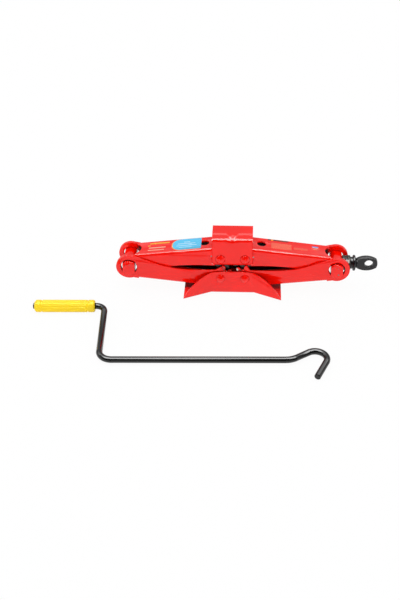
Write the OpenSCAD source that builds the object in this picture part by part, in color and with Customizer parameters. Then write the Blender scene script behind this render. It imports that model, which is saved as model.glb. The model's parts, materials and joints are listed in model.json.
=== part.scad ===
// Screw-driven scissor jack with its loose crank handle.
// Four pressed channel arms make a rhombus between a base and a saddle. The arm ends carry
// gear teeth that keep both sides level. A lead screw draws the two trunnions together,
// which raises the saddle. The model is drawn fully lowered.
//
// Millimetres, +Z up. The origin is the middle of the base's underside, +X runs along the
// screw towards its eye, and the crank handle lies on the floor on the -Y side.

/* [Linkage] */
// Distance between the two hinge axes of an arm
arm_length = 136; // [110:1:180]
// Distance between the two hinge pins of the base, and of the saddle
pin_spacing = 36; // [32:0.5:44]
// Angle of the arms over the horizontal when the jack is lowered
rest_angle = 6.7; // [6.5:0.1:12]
// Height of the base's hinge pins over the floor
base_pin_height = 25.9; // [25.4:0.1:34]

/* [Pressed sheet] */
// Thickness of the pressed steel sheet
sheet = 2.5; // [2:0.1:3]
// Outer radius of the pressed bends
bend_radius = 4; // [3.2:0.1:5]
// Gap between one channel's side and the next channel's side
side_play = 0.4; // [0.3:0.05:0.8]

/* [Arms] */
// Outside width of the upper arms, the narrowest channel
upper_arm_width = 37; // [34:0.5:44]
// Distance from the hinge line to the outside of the arm's web
web_height = 17.6; // [15.6:0.2:19]
// Depth of the arm's side below the hinge line at its waist
waist_depth = 6.4; // [5:0.2:9]
// Depth of the arm's side at the geared end
heel_depth = 13.2; // [12:0.2:14]
// Distance of the waist from the geared end's pin
waist_place = 64; // [50:1:75]
// Radius of the ear round the trunnion
ear_radius = 18.9; // [16.5:0.1:21]
// Angle on the ear's round at which the side's upper edge meets it
ear_shoulder = 112; // [105:1:125]
// Distance from the trunnion's axis to the end of an upper arm's web
upper_web_gap = 12; // [11:0.5:20]
// The same for a lower arm, whose web has to clear the upper arm's sides
lower_web_gap = 17; // [16:0.5:24]
// How far the web reaches past the geared end's pin
web_head = 5; // [3:0.5:8]
// Radius of the hollow cut into the end of the web
web_notch_radius = 15.5; // [12:0.5:15.5]
// Depth of that hollow
web_notch_depth = 7.5; // [4:0.5:10]
// Diameter of the hole in the web
web_hole = 13.6; // [8:0.2:18]
// Distance of the web hole from the geared end's pin
web_hole_place = 22; // [18:0.5:40]

/* [Gear teeth] */
// Teeth that a whole turn would have
gear_count = 9; // [9:1:10]
// Pressure angle of the teeth
pressure_angle = 25; // [22:1:28]
// Height of a tooth over the pitch circle
tooth_top = 2.5; // [2:0.1:2.8]
// Depth of the gap below the pitch circle
tooth_root = 3.6; // [3.2:0.1:4]
// Height of a tooth's rounded crown
tooth_crown = 1.3; // [0.8:0.1:1.6]
// Play between two meshed teeth, along the pitch circle
tooth_play = 0.7; // [0.5:0.05:1]
// Angle of the left lower arm's first tooth, from the line between the pins
tooth_phase = -4; // [-8:1:0]

/* [Base] */
// Length of the base
base_length = 144; // [110:2:180]
// Length of the straight middle of the base, between the flared ends
base_middle = 63; // [50:1:90]
// Width across the flared ends of the base
base_end_width = 88; // [60:1:110]
// Height of the base's side plates in the middle
base_side_height = 37.7; // [36:0.1:42]
// How square the arch of the side plates is
base_arch_power = 3.3; // [2:0.1:5]

/* [Saddle] */
// Length of the saddle along the screw
saddle_length = 58; // [50:1:80]
// Height of the saddle's top over its pins
saddle_height = 34.6; // [30:0.2:45]
// Depth of the saddle's side plates below its pins
saddle_skirt = 9.2; // [8:0.2:10.8]
// Radius of the corners of the side plates
saddle_corner = 4; // [1:0.5:7]
// Width of the shallow trough along the top
trough_width = 19; // [10:1:26]
// Depth of the trough
trough_depth = 1; // [0.5:0.1:1.5]
// Width of the notch pressed across the front ridge
notch_width = 21; // [10:1:30]
// Depth of the notch at the edge of the saddle
notch_depth = 4.6; // [1.5:0.1:5]
// Width of the notch's floor at the edge of the saddle
notch_floor = 2; // [1:0.5:8]
// How far the notch's sides slope
notch_slope = 1; // [0.4:0.1:2]

/* [Rivets] */
// Diameter of the hinge rivets
rivet_diameter = 10; // [8:0.5:12]
// Diameter of the saddle rivets' heads
saddle_head = 13.8; // [12.5:0.1:18]
// Height of the saddle rivets' heads
saddle_head_height = 4.8; // [3:0.1:6]
// Diameter of the base rivets' heads
base_head = 12.8; // [12.4:0.1:18]
// Height of the base rivets' heads
base_head_height = 4.2; // [3:0.1:6]
// Radial clearance of an arm's hole round its rivet
rivet_clearance = 0.1; // [0.05:0.01:0.3]

/* [Trunnions] */
// Diameter of the trunnion bars
trunnion_diameter = 22.8; // [20:0.2:24]
// Distance across the flats of the trunnion bars
trunnion_flats = 17.6; // [15:0.2:20]
// Radial clearance of the ears round the trunnion bars
trunnion_clearance = 0.4; // [0.1:0.05:0.5]
// Bevel round the ears' holes, where the bars' ends stand out
ear_bevel = 0.6; // [0.2:0.1:1]
// Chamfer round the bar's ends
trunnion_chamfer = 0.8; // [0.3:0.1:1.5]
// How far the bar's ends stand out of the outer ears
trunnion_reach = 4.5; // [0.5:0.1:8]

/* [Screw] */
// Outside diameter of the screw
screw_diameter = 14; // [12:0.5:16]
// Clearance of the screw in the trunnions
screw_clearance = 0.1; // [0.05:0.05:0.3]
// How far the screw stands out of the left trunnion
screw_tail = 0.4; // [0:0.1:20]
// Chamfer round the screw's tail end
screw_chamfer = 1.2; // [0.5:0.1:2]

/* [Thrust bearing] */
// Outside diameter of the bearing
bearing_diameter = 22.6; // [20:0.2:28]
// Thickness of a bearing ring
bearing_ring = 4.4; // [2:0.2:5]
// Diameter of the bearing balls
ball_diameter = 3; // [2.4:0.1:3.2]
// Number of balls
ball_count = 9; // [6:1:9]
// Clearance between a ball and each ring
ball_clearance = 0.1; // [0.05:0.01:0.2]
// Thickness of the ball cage
cage_thickness = 1.6; // [1:0.1:2.4]
// Clearance of the cage round the balls and inside the rings' rims
cage_clearance = 0.1; // [0.05:0.01:0.2]
// Chamfer of the bearing rings' outer edges
bearing_chamfer = 0.6; // [0.2:0.1:1]

/* [Collar and eye] */
// Diameter of the thrust collar's flange
collar_diameter = 24; // [20:0.5:30]
// Thickness of the flange
collar_flange = 4.2; // [3:0.1:6]
// Diameter of the collar's hub, which bears on the bearing
collar_hub = 18; // [16:0.5:19]
// Length of the hub
collar_hub_length = 3.4; // [2:0.1:6]
// Length of the eye
eye_length = 33; // [28:0.5:40]
// Height of the eye at its hole
eye_height = 23; // [19:0.2:26]
// Thickness of the flattened eye
eye_thickness = 7.6; // [6:0.2:9]
// Diameter of the hole for the crank's hook
eye_hole = 12.8; // [10:0.2:13.4]
// Distance from the collar to the hole's axis
eye_hole_place = 20; // [18:0.5:22]
// Diameter of the neck between collar and eye
eye_neck = 13; // [10:0.5:15]
// Length of the neck that stays round
eye_neck_length = 3; // [1:0.5:5]
// Distance from the collar to the eye's widest place
eye_bulge_place = 16; // [14:0.5:20]
// Radius of the eye's round nose
eye_nose = 15; // [13:0.5:20]
// Bevel round the hole's edges
eye_bevel = 0.8; // [0.2:0.1:1.2]

/* [Crank] */
// Diameter of the crank's rod
rod_diameter = 9; // [7:0.5:10]
// Distance between the grip's axis and the long run
crank_throw = 119; // [90:1:150]
// Length of the long run, from the throw's corner to the start of the hook
run_length = 260; // [200:1:300]
// How far the throw leans off square
throw_lean_angle = 1.9; // [0:0.1:8]
// Bend radius at the rod's axis of the corner next to the grip
crank_bend = 13; // [11:0.5:20]
// Bend radius of the throw's other corner
throw_bend = 18; // [11:0.5:26]
// Angle at which the run rises into the hook
hook_rise_angle = 33; // [20:1:38]
// Bend radius where the rise starts
rise_bend = 26; // [12:1:40]
// Bend radius of the hook at the rod's axis
hook_bend = 15.5; // [9:0.5:16]
// Angle of the hook's leg
hook_leg_angle = 245; // [240:1:255]
// How far the hook's tip reaches beyond the run
hook_reach = 35; // [30:1:45]
// Distance of the hook's tip from the start of the hook, along the run
hook_tip_place = 32; // [30:1:40]
// How much the bends bulge over the straight rod
bend_bulge = 0.03; // [0.02:0.01:0.2]
// How far the straight runs reach into the bends
bend_bite = 0.2; // [0.1:0.1:1]
// Bevel at both ends of the rod
rod_bevel = 0.8; // [0.2:0.1:1.5]

/* [Grip] */
// Length of the grip
grip_length = 87; // [70:1:110]
// Diameter of the grip
grip_diameter = 18; // [15:0.5:24]
// Diameter of the two necks of the grip
grip_neck = 15; // [13:0.5:17]
// Width of a neck
grip_neck_width = 3.2; // [2:0.2:5]
// Length of the end collars
grip_collar = 9.5; // [5:0.5:15]
// Bevel of the grip's ends
grip_bevel = 1.6; // [0.5:0.1:3]
// Number of ribs round the grip
rib_count = 10; // [6:1:14]
// Width of the grooves between the ribs
rib_groove = 1.6; // [1:0.1:2.4]
// Depth of those grooves
rib_depth = 0.9; // [0.5:0.1:1.4]
// Radial clearance of the grip on the rod
grip_clearance = 0.1; // [0.05:0.01:0.3]
// How far the rod stands out of the grip's outer end
rod_end = 2.2; // [1.5:0.1:5]
// Gap between the grip and the crank's corner bend
grip_gap = 1.5; // [0.5:0.5:8]

/* [Where the crank lies] */
// Place of the grip's outer end along the screw
crank_x = -284.4; // [-400:0.2:-150]
// Distance of the grip's axis in front of the base's middle
crank_y = 78; // [65:0.2:200]
// Turn of the crank on the floor
crank_turn_angle = 1.5; // [0:0.1:6]

/* [Hidden] */

$fn = 96;
// How far shapes that are cut away or joined reach past the faces they cross
lap = 1;

red = "#e3211c";
dark_red = "#b81512";
steel = "#b4b7ba";
black = "#26282b";
yellow = "#f7c81e";

// Half widths of the nested channels, each outside the one before
upper_half = upper_arm_width / 2;
lower_half = upper_half + side_play + sheet;
saddle_half = lower_half;
base_half = lower_half + side_play + sheet;

// Hinge axes with the jack lowered
pin_x = pin_spacing / 2;
trunnion_x = pin_x + arm_length * cos(rest_angle);
trunnion_z = base_pin_height + arm_length * sin(rest_angle);
saddle_pin_z = trunnion_z + arm_length * sin(rest_angle);
saddle_top = saddle_pin_z + saddle_height;

// Gear teeth on the arms' ends: the pitch circles touch halfway between the pins
pitch_radius = pin_spacing / 2;
base_circle = pitch_radius * cos(pressure_angle);
tip_radius = pitch_radius + tooth_top;
root_radius = pitch_radius - tooth_root;
tooth_pitch = 360 / gear_count;
flank_steps = 4;
crown_steps = 3;
tooth_foot = root_radius - sheet / 2;
// Left lower and right upper arms carry one set, the other two the set that meshes with it
first_set = [for (i = [0:2]) tooth_phase + i * tooth_pitch];
second_set = [for (i = [0:3]) tooth_phase + (i - 0.5) * tooth_pitch];

rivet_radius = rivet_diameter / 2;
ear_hole_radius = trunnion_diameter / 2 + trunnion_clearance;
inner_bend = bend_radius - sheet;

screw_radius = screw_diameter / 2;
screw_bore = screw_radius + screw_clearance;
bearing_x = trunnion_x + trunnion_flats / 2;
ball_gap = ball_diameter + 2 * ball_clearance;
collar_x = bearing_x + 2 * bearing_ring + ball_gap;
eye_x = collar_x + collar_hub_length + collar_flange;
ball_circle = (screw_bore + bearing_diameter / 2) / 2;

rod_radius = rod_diameter / 2;
grip_radius = grip_diameter / 2;
// The crank lies on its grip and on its hook's tip
crank_tilt = asin((grip_radius - rod_radius) / (crank_throw + hook_reach));
throw_shift = crank_throw * tan(throw_lean_angle);
grip_end_to_corner = grip_length + grip_gap + crank_bend * tan((90 - throw_lean_angle) / 2);

// ---------- shapes that repeat ----------

// Extrudes an outline drawn in X and Z by the given width, centred on Y
module across(width) {
    rotate([90, 0, 0]) linear_extrude(width, center = true) children();
}

// A round bar along Y
module cross_bar(radius, length) {
    rotate([90, 0, 0]) cylinder(r = radius, h = length, center = true);
}

// A round bar along X
module long_bar(radius, from, to) {
    translate([from, 0, 0]) rotate([0, 90, 0]) cylinder(r = radius, h = to - from);
}

// A bar along X with its two upper edges rounded
module channel_bar(half, top, depth, radius, from, to) {
    translate([from, -half, top - depth]) cube([to - from, 2 * half, depth - radius]);
    translate([from, radius - half, top - radius - lap])
        cube([to - from, 2 * (half - radius), radius + lap]);
    for (s = [-1, 1])
        translate([0, s * (half - radius), top - radius]) long_bar(radius, from, to);
}

// What rounds the two upper edges of a channel
module edge_cuts(half, top, radius, from, to) {
    for (s = [-1, 1]) translate([0, s * (half - radius), top - radius]) difference() {
        translate([from, s > 0 ? 0 : -radius - lap, 0])
            cube([to - from, radius + lap, radius + lap]);
        long_bar(radius, from - lap, to + lap);
    }
}

// ---------- geared arms ----------

function polar(radius, angle) = [radius * cos(angle), radius * sin(angle)];

// Involute function, in degrees
function involute(angle) = tan(angle) * 180 / PI - angle;

// Half of a tooth's angle at a radius
function half_tooth(radius) =
    90 / gear_count - tooth_play / pitch_radius * 90 / PI + involute(pressure_angle)
    - involute(acos(min(1, base_circle / radius)));

crown_base = tip_radius - tooth_crown;

// One side of a tooth from its root to the middle of its crown: radius and half angle
tooth_side = concat(
    [[tooth_foot, half_tooth(base_circle)]],
    [for (i = [0:flank_steps]) let (r = base_circle + (crown_base - base_circle) * i / flank_steps)
        [r, half_tooth(r)]],
    [for (i = [1:crown_steps]) let (a = 90 * i / crown_steps)
        [crown_base + tooth_crown * sin(a), half_tooth(crown_base) * cos(a)]]);

module tooth(angle) {
    last = len(tooth_side) - 1;
    polygon(concat(
        [for (i = [0:last]) polar(tooth_side[i][0], angle - tooth_side[i][1])],
        [for (i = [last - 1:-1:0]) polar(tooth_side[i][0], angle + tooth_side[i][1])]));
}

// Depth of the arm's side below the hinge line: falls from the heel to the waist, then
// swells smoothly into the ear
heel_curve = 1.6;
ear_curve = 1.15;
function swell(t) = let (u = pow(t, ear_curve)) u * u * (3 - 2 * u);
function side_depth(x) =
    x < waist_place
    ? waist_depth + (heel_depth - waist_depth) * pow((waist_place - x) / waist_place, heel_curve)
    : waist_depth + (ear_radius - waist_depth)
      * swell((x - waist_place) / (arm_length - waist_place));

// The plate of both sides of an arm that lies along +X with its web on top, filled between
// them: the geared head, the waisted side and the ear
module arm_blank(width, teeth, web_end) {
    edge_steps = 22;
    // the side's edge runs into the ear a little inside its round
    ear_blend = ear_radius / 50;
    heel_x = pitch_radius / 2;
    hub_end = 180 + teeth[0] + rest_angle - tooth_pitch * 0.38;
    last_tooth = 180 + teeth[len(teeth) - 1] + rest_angle;
    cross_bar(root_radius, width);
    intersection() {
        cross_bar(web_height, width);
        across(width) polygon([[0, 0], [0, 2 * web_height],
            polar(2 * web_height, (90 + hub_end) / 2), polar(2 * web_height, hub_end)]);
    }
    across(width) polygon(concat(
        [[0, web_height], [web_end, web_height],
         [arm_length, 0] + polar(ear_radius - ear_blend, ear_shoulder), [arm_length, 0]],
        [for (i = [edge_steps:-1:0]) let (x = arm_length * i / edge_steps)
            [x, -min(side_depth(x), ear_radius - ear_blend)]]));
    // fillet behind the last tooth
    across(width) polygon([[0, 0], polar(crown_base, last_tooth),
        polar(crown_base, last_tooth + half_tooth(crown_base)), [heel_x, -side_depth(heel_x)]]);
    translate([arm_length, 0, 0]) cross_bar(ear_radius, width);
    for (a = teeth) across(width) tooth(180 + a + rest_angle);
}

// An arm along +X: a channel whose web ends short of the trunnion, with bare ears beyond
module arm(half, teeth, web_gap) {
    web_end = arm_length - web_gap;
    reach = ear_radius + tip_radius;
    inside = half - sheet;
    difference() {
        arm_blank(2 * half, teeth, web_end);
        edge_cuts(half, web_height, bend_radius, -reach, web_end + lap);
        channel_bar(inside, web_height - sheet, 2 * reach, inner_bend, -reach, web_end + lap);
        // nothing joins the sides beyond either end of the web
        translate([web_end, -inside, -reach])
            cube([reach + web_gap, 2 * inside, 2 * reach]);
        translate([-reach, -inside, -reach])
            cube([reach - web_head, 2 * inside, 2 * reach]);
        // hollow in the web's end
        translate([web_end - web_notch_depth + web_notch_radius, 0, 0])
            cylinder(r = web_notch_radius, h = 2 * web_height);
        translate([web_hole_place, 0, 0]) cylinder(r = web_hole / 2, h = 2 * web_height);
        cross_bar(rivet_radius + rivet_clearance, 3 * half);
        translate([arm_length, 0, 0]) {
            cross_bar(ear_hole_radius, 3 * half);
            for (s = [-90, 90]) rotate([s, 0, 0]) translate([0, 0, half - ear_bevel])
                cylinder(r1 = ear_hole_radius, r2 = ear_hole_radius + 2 * ear_bevel,
                    h = 2 * ear_bevel);
        }
    }
}

module lower_arm(teeth) {
    translate([pin_x, 0, base_pin_height]) rotate([0, -rest_angle, 0])
        mirror([0, 0, 1]) arm(lower_half, teeth, lower_web_gap);
}

module upper_arm(teeth) {
    translate([pin_x, 0, saddle_pin_z]) rotate([0, rest_angle, 0])
        arm(upper_half, teeth, upper_web_gap);
}

module lower_arm_left() { color(red) mirror([1, 0, 0]) lower_arm(first_set); }
module lower_arm_right() { color(red) lower_arm(second_set); }
module upper_arm_left() { color(dark_red) mirror([1, 0, 0]) upper_arm(second_set); }
module upper_arm_right() { color(dark_red) upper_arm(first_set); }

// ---------- base ----------

base_end = base_length / 2;
middle_end = base_middle / 2;
end_half = base_end_width / 2;
flare_angle = atan((end_half - base_half) / (base_end - middle_end));

// Height of the side plates along the base
function arch(x) =
    sheet + (base_side_height - sheet) * (1 - pow(min(1, abs(x) / base_end), base_arch_power));

module arch_outline() {
    steps = 36;
    polygon(concat([[base_end, -lap], [-base_end, -lap]],
        [for (i = [0:steps]) let (x = base_length * (i / steps - 0.5)) [x, arch(x)]]));
}

// Outer and inner line of a side plate's section, from its top down to the floor: distance
// in from the plate's outer face, and height
bend_steps = 6;
outer_line = concat([[0, base_side_height + lap]],
    [for (i = [0:bend_steps]) let (a = 90 * i / bend_steps)
        [bend_radius * (1 - cos(a)), bend_radius * (1 - sin(a))]]);
inner_line = concat([[sheet, base_side_height + lap]],
    [for (i = [0:bend_steps]) let (a = 90 * i / bend_steps)
        [bend_radius - inner_bend * cos(a), bend_radius - inner_bend * sin(a)]]);

function turned(list) = [for (i = [len(list) - 1:-1:0]) list[i]];
function sided(side, list) = [for (p = list) [side, p[0], p[1]]];

// The channel's whole section: side, distance in from that side's outer face, and height
base_section = concat(
    sided(-1, outer_line), sided(1, turned(outer_line)),
    sided(1, inner_line), sided(-1, turned(inner_line)));

// Where the section stands: place along X, half width, lean of the mitre, and stretch across
mitre = tan(flare_angle / 2);
base_stations = [
    [-base_end, end_half, 0, 1 / cos(flare_angle)], [-middle_end, base_half, -mitre, 1],
    [middle_end, base_half, mitre, 1], [base_end, end_half, 0, 1 / cos(flare_angle)]];

// The base as it is folded, before its side plates are cut to an arch
module folded_base() {
    n = len(base_section);
    last = len(base_stations) - 1;
    polyhedron(
        [for (s = base_stations) for (p = base_section)
            [s[0] + p[1] * s[2], p[0] * (s[1] - p[1] * s[3]), p[2]]],
        concat(
            [for (j = [0:n / 2 - 2]) [j, j + 1, n - 2 - j, n - 1 - j]],
            [for (j = [0:n / 2 - 2]) [for (k = [j, n - 1 - j, n - 2 - j, j + 1]) last * n + k]],
            [for (i = [0:last - 1]) for (j = [0:n - 1]) let (k = (j + 1) % n)
                [i * n + k, i * n + j, (i + 1) * n + j, (i + 1) * n + k]]));
}

module base_channel() {
    color(red) difference() {
        intersection() {
            folded_base();
            across(2 * base_end_width) arch_outline();
        }
        for (s = [-1, 1]) translate([s * pin_x, 0, base_pin_height])
            cross_bar(rivet_radius, 4 * base_half);
    }
}

// ---------- saddle ----------

module saddle_notch(drop) {
    // opens the ridge from the trough's edge out to the edge of the saddle
    wide = notch_width / 2;
    flat = notch_floor / 2;
    lip = 0.02;
    hull() {
        translate([0, lip - trough_width / 2, saddle_top - drop])
            rotate([90, 0, 0]) linear_extrude(lip) polygon([
                [notch_slope - wide, -trough_depth], [wide - notch_slope, -trough_depth],
                [wide, lap], [-wide, lap]]);
        translate([0, -saddle_half - lap, saddle_top - drop])
            rotate([90, 0, 0]) linear_extrude(lip) polygon([
                [-flat, -notch_depth], [flat, -notch_depth],
                [wide + notch_slope, lap], [-wide - notch_slope, lap]]);
    }
}

module saddle() {
    skirt = saddle_height + saddle_skirt;
    inside = saddle_half - sheet;
    half = saddle_length / 2;
    color(red) difference() {
        union() {
            intersection() {
                difference() {
                    channel_bar(saddle_half, saddle_top, skirt, bend_radius, -half, half);
                    channel_bar(inside, saddle_top - sheet, skirt, inner_bend,
                        -half - lap, half + lap);
                }
                across(4 * saddle_half) union() {
                    translate([-half, saddle_top - skirt + saddle_corner])
                        square([saddle_length, skirt]);
                    translate([saddle_corner - half, saddle_top - skirt])
                        square([saddle_length - 2 * saddle_corner, skirt]);
                    for (s = [-1, 1])
                        translate([s * (half - saddle_corner), saddle_top - skirt + saddle_corner])
                            circle(r = saddle_corner);
                }
            }
            // the sheet under the trough and the notch is pressed down as well
            translate([-half, -trough_width / 2 - sheet / 2, saddle_top - sheet - trough_depth])
                cube([saddle_length, trough_width + sheet, sheet]);
            intersection() {
                saddle_notch(sheet);
                translate([-half, -inside - sheet / 2, saddle_top - sheet - notch_depth - lap])
                    cube([saddle_length, 2 * inside + sheet, notch_depth + sheet / 2 + lap]);
            }
        }
        translate([-half - lap, -trough_width / 2, saddle_top - trough_depth])
            cube([saddle_length + 2 * lap, trough_width, 2 * sheet]);
        saddle_notch(0);
        for (s = [-1, 1]) translate([s * pin_x, 0, saddle_pin_z])
            cross_bar(rivet_radius, 4 * saddle_half);
    }
}

// ---------- rivets ----------

// A rivet along Y through plates whose outer faces are at half to either side
module rivet(half, head, height) {
    ball = (head * head / 4 + height * height) / (2 * height);
    cross_bar(rivet_radius, 2 * half + lap);
    for (s = [-90, 90]) rotate([s, 0, 0]) translate([0, 0, half])
        rotate_extrude() intersection() {
            translate([0, height - ball]) circle(r = ball);
            square([head, height]);
        }
}

module base_rivet(side) {
    color(dark_red) translate([side * pin_x, 0, base_pin_height])
        rivet(base_half, base_head, base_head_height);
}

module saddle_rivet(side) {
    color(dark_red) translate([side * pin_x, 0, saddle_pin_z])
        rivet(saddle_half, saddle_head, saddle_head_height);
}

module base_rivet_left() { base_rivet(-1); }
module base_rivet_right() { base_rivet(1); }
module saddle_rivet_left() { saddle_rivet(-1); }
module saddle_rivet_right() { saddle_rivet(1); }

// ---------- trunnions ----------

module trunnion(side) {
    chamfer = trunnion_chamfer;
    end = lower_half + trunnion_reach;
    radius = trunnion_diameter / 2;
    color(red) translate([side * trunnion_x, 0, trunnion_z]) difference() {
        intersection() {
            rotate([90, 0, 0]) rotate_extrude() polygon([
                [0, -end], [radius - chamfer, -end], [radius, chamfer - end],
                [radius, end - chamfer], [radius - chamfer, end], [0, end]]);
            cube([trunnion_flats, 3 * end, 3 * radius], center = true);
        }
        long_bar(screw_bore, -radius, radius);
    }
}

module trunnion_nut() { trunnion(-1); }
module trunnion_block() { trunnion(1); }

// ---------- screw, thrust bearing, collar and eye ----------

module lead_screw() {
    chamfer = screw_chamfer;
    tail = -bearing_x - screw_tail;
    color(steel) translate([0, 0, trunnion_z]) rotate([0, 90, 0]) rotate_extrude() polygon([
        [0, tail], [screw_radius - chamfer, tail], [screw_radius, tail + chamfer],
        [screw_radius, eye_x], [0, eye_x]]);
}

module bearing_ring(from, bore) {
    edge = bearing_chamfer;
    outer = bearing_diameter / 2;
    translate([from, 0, trunnion_z]) rotate([0, 90, 0]) rotate_extrude() polygon([
        [bore, 0], [outer - edge, 0], [outer, edge], [outer, bearing_ring - edge],
        [outer - edge, bearing_ring], [bore, bearing_ring]]);
}

module bearing_ring_fixed() { color(steel) bearing_ring(bearing_x, screw_bore); }

module bearing_ring_turning() {
    color(steel) bearing_ring(bearing_x + bearing_ring + ball_gap, screw_radius);
}

// Places one copy at each ball
module at_balls() {
    for (i = [0:ball_count - 1])
        translate([bearing_x + bearing_ring + ball_gap / 2, 0, trunnion_z])
            rotate([360 * i / ball_count, 0, 0]) translate([0, 0, ball_circle]) children();
}

module bearing_balls() {
    color(steel) at_balls() sphere(d = ball_diameter, $fn = 32);
}

module bearing_cage() {
    middle = bearing_x + bearing_ring + ball_gap / 2;
    color("#c79a3f") difference() {
        translate([0, 0, trunnion_z]) long_bar(bearing_diameter / 2 - cage_clearance,
            middle - cage_thickness / 2, middle + cage_thickness / 2);
        translate([0, 0, trunnion_z]) long_bar(screw_bore + screw_clearance,
            middle - ball_gap, middle + ball_gap);
        at_balls() long_bar(ball_diameter / 2 + cage_clearance, -ball_gap, ball_gap);
    }
}

module thrust_collar() {
    hub = collar_hub / 2;
    flange = collar_diameter / 2;
    rim = collar_flange / 2;
    color(black) translate([collar_x, 0, trunnion_z]) rotate([0, 90, 0]) rotate_extrude() {
        translate([screw_radius, 0]) square([hub - screw_radius, collar_hub_length]);
        translate([screw_radius, collar_hub_length])
            square([flange - rim - screw_radius, collar_flange]);
        translate([flange - rim, collar_hub_length + rim]) circle(r = rim);
    }
}

// The eye is a turned blank, lemon shaped, that was flattened and pierced
module screw_eye() {
    neck = eye_neck / 2;
    half = eye_height / 2;
    swell_radius = (pow(eye_bulge_place, 2) + pow(half - neck, 2)) / (2 * (half - neck));
    color(black) translate([eye_x, 0, trunnion_z]) difference() {
        intersection() {
            rotate([0, 90, 0]) rotate_extrude() intersection() {
                square([half, eye_length]);
                translate([half - swell_radius, eye_bulge_place]) circle(r = swell_radius);
                union() {
                    square([half, eye_length - eye_nose]);
                    translate([0, eye_length - eye_nose]) circle(r = eye_nose);
                }
            }
            union() {
                cube([2 * eye_length, eye_thickness, 2 * eye_height], center = true);
                // the neck stays round
                long_bar(neck + lap, -lap, eye_neck_length);
            }
        }
        translate([eye_hole_place, 0, 0]) {
            cross_bar(eye_hole / 2, 2 * eye_thickness);
            for (s = [-90, 90]) rotate([s, 0, 0]) translate([0, 0, eye_thickness / 2 - eye_bevel])
                cylinder(r1 = eye_hole / 2, r2 = eye_hole / 2 + 2 * eye_bevel, h = 2 * eye_bevel);
        }
    }
}

// ---------- crank handle ----------

// Corner points of the rod's axis, seen from above: x along the run, y towards the grip.
// The grip's outer end is at x = 0 and the run at y = 0.
corner_x = grip_end_to_corner;
hook_x = corner_x + throw_shift + run_length;
tip = [hook_x + hook_tip_place, -hook_reach];
// where the hook's leg meets the rise
leg_dir = polar(1, hook_leg_angle - 180);
rise_slope = tan(hook_rise_angle);
leg_reach = (rise_slope * (tip[0] - hook_x) - tip[1]) / (leg_dir[1] - rise_slope * leg_dir[0]);
hook_top = tip + leg_reach * leg_dir;
rod_points = [[-rod_end, crank_throw], [corner_x, crank_throw], [corner_x + throw_shift, 0],
              [hook_x, 0], hook_top, tip];
rod_bends = [0, crank_bend, throw_bend, rise_bend, hook_bend, 0];

function heading(a, b) = atan2(b[1] - a[1], b[0] - a[0]);
// turn at corner i, from -180 to 180
function turn_at(i) =
    let (t = heading(rod_points[i], rod_points[i + 1]) - heading(rod_points[i - 1], rod_points[i]))
    t > 180 ? t - 360 : t < -180 ? t + 360 : t;
function trim_at(i) =
    i == 0 || i == len(rod_points) - 1 ? 0 : rod_bends[i] * tan(abs(turn_at(i)) / 2);

// A straight run of rod between two points, with either end bevelled
module rod_run(from, to, start_trim, end_trim, start_bevel, end_bevel) {
    run = norm(to - from) - start_trim - end_trim;
    translate([from[0], from[1], 0]) rotate([0, 0, heading(from, to)])
        translate([start_trim, 0, 0]) rotate([0, 90, 0]) {
            translate([0, 0, start_bevel])
                cylinder(r = rod_radius, h = run - start_bevel - end_bevel);
            if (start_bevel > 0) cylinder(
                r1 = rod_radius - start_bevel, r2 = rod_radius, h = start_bevel);
            if (end_bevel > 0) translate([0, 0, run - end_bevel])
                cylinder(r1 = rod_radius, r2 = rod_radius - end_bevel, h = end_bevel);
        }
}

// The rod: straight runs that reach a little into the bends that join them
module bent_rod() {
    last = len(rod_points) - 1;
    for (i = [0:last - 1])
        rod_run(rod_points[i], rod_points[i + 1],
            i == 0 ? 0 : trim_at(i) - bend_bite, i == last - 1 ? 0 : trim_at(i + 1) - bend_bite,
            i == 0 ? rod_bevel : 0, i == last - 1 ? rod_bevel : 0);
    for (i = [1:last - 1]) {
        corner = rod_points[i];
        turn = turn_at(i);
        side = turn > 0 ? 1 : -1;
        dir = heading(rod_points[i - 1], corner);
        centre = corner - trim_at(i) * polar(1, dir) + side * rod_bends[i] * polar(1, dir + 90);
        translate([centre[0], centre[1], 0])
            rotate([0, 0, turn > 0 ? dir - 90 : dir + 90 + turn])
                rotate_extrude(angle = abs(turn)) translate([rod_bends[i], 0])
                    circle(r = rod_radius + bend_bulge);
    }
}

// Puts the crank on the floor, tilted so that it rests on its grip and its hook's tip
module laid_down() {
    translate([crank_x, -crank_y, grip_radius]) rotate([0, 0, crank_turn_angle])
        rotate([crank_tilt, 0, 0]) translate([0, -crank_throw, 0]) children();
}

module crank_rod() { color(black) laid_down() bent_rod(); }

module crank_grip() {
    bore = rod_radius + grip_clearance;
    neck = grip_neck / 2;
    slope = grip_radius - neck;
    // radius along the grip: end collar, neck, ribbed middle, neck, end collar
    half = [[grip_radius - grip_bevel, 0], [grip_radius, grip_bevel], [grip_radius, grip_collar - slope],
            [neck, grip_collar], [neck, grip_collar + grip_neck_width],
            [grip_radius, grip_collar + grip_neck_width + slope]];
    rib_from = grip_collar + grip_neck_width;
    color(yellow) laid_down() translate([0, crank_throw, 0]) difference() {
        rotate([0, 90, 0]) rotate_extrude() polygon(concat(
            [[bore, 0]], half,
            [for (i = [len(half) - 1:-1:0]) [half[i][0], grip_length - half[i][1]]],
            [[bore, grip_length]]));
        for (i = [0:rib_count - 1]) rotate([360 * (i + 0.5) / rib_count, 0, 0])
            translate([rib_from, -rib_groove / 2, grip_radius - rib_depth])
                cube([grip_length - 2 * rib_from, rib_groove, 2 * rib_depth]);
    }
}

base_channel();
base_rivet_left();
base_rivet_right();
lower_arm_left();
lower_arm_right();
upper_arm_left();
upper_arm_right();
saddle();
saddle_rivet_left();
saddle_rivet_right();
trunnion_nut();
trunnion_block();
lead_screw();
bearing_ring_fixed();
bearing_cage();
bearing_balls();
bearing_ring_turning();
thrust_collar();
screw_eye();
crank_rod();
crank_grip();
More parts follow.
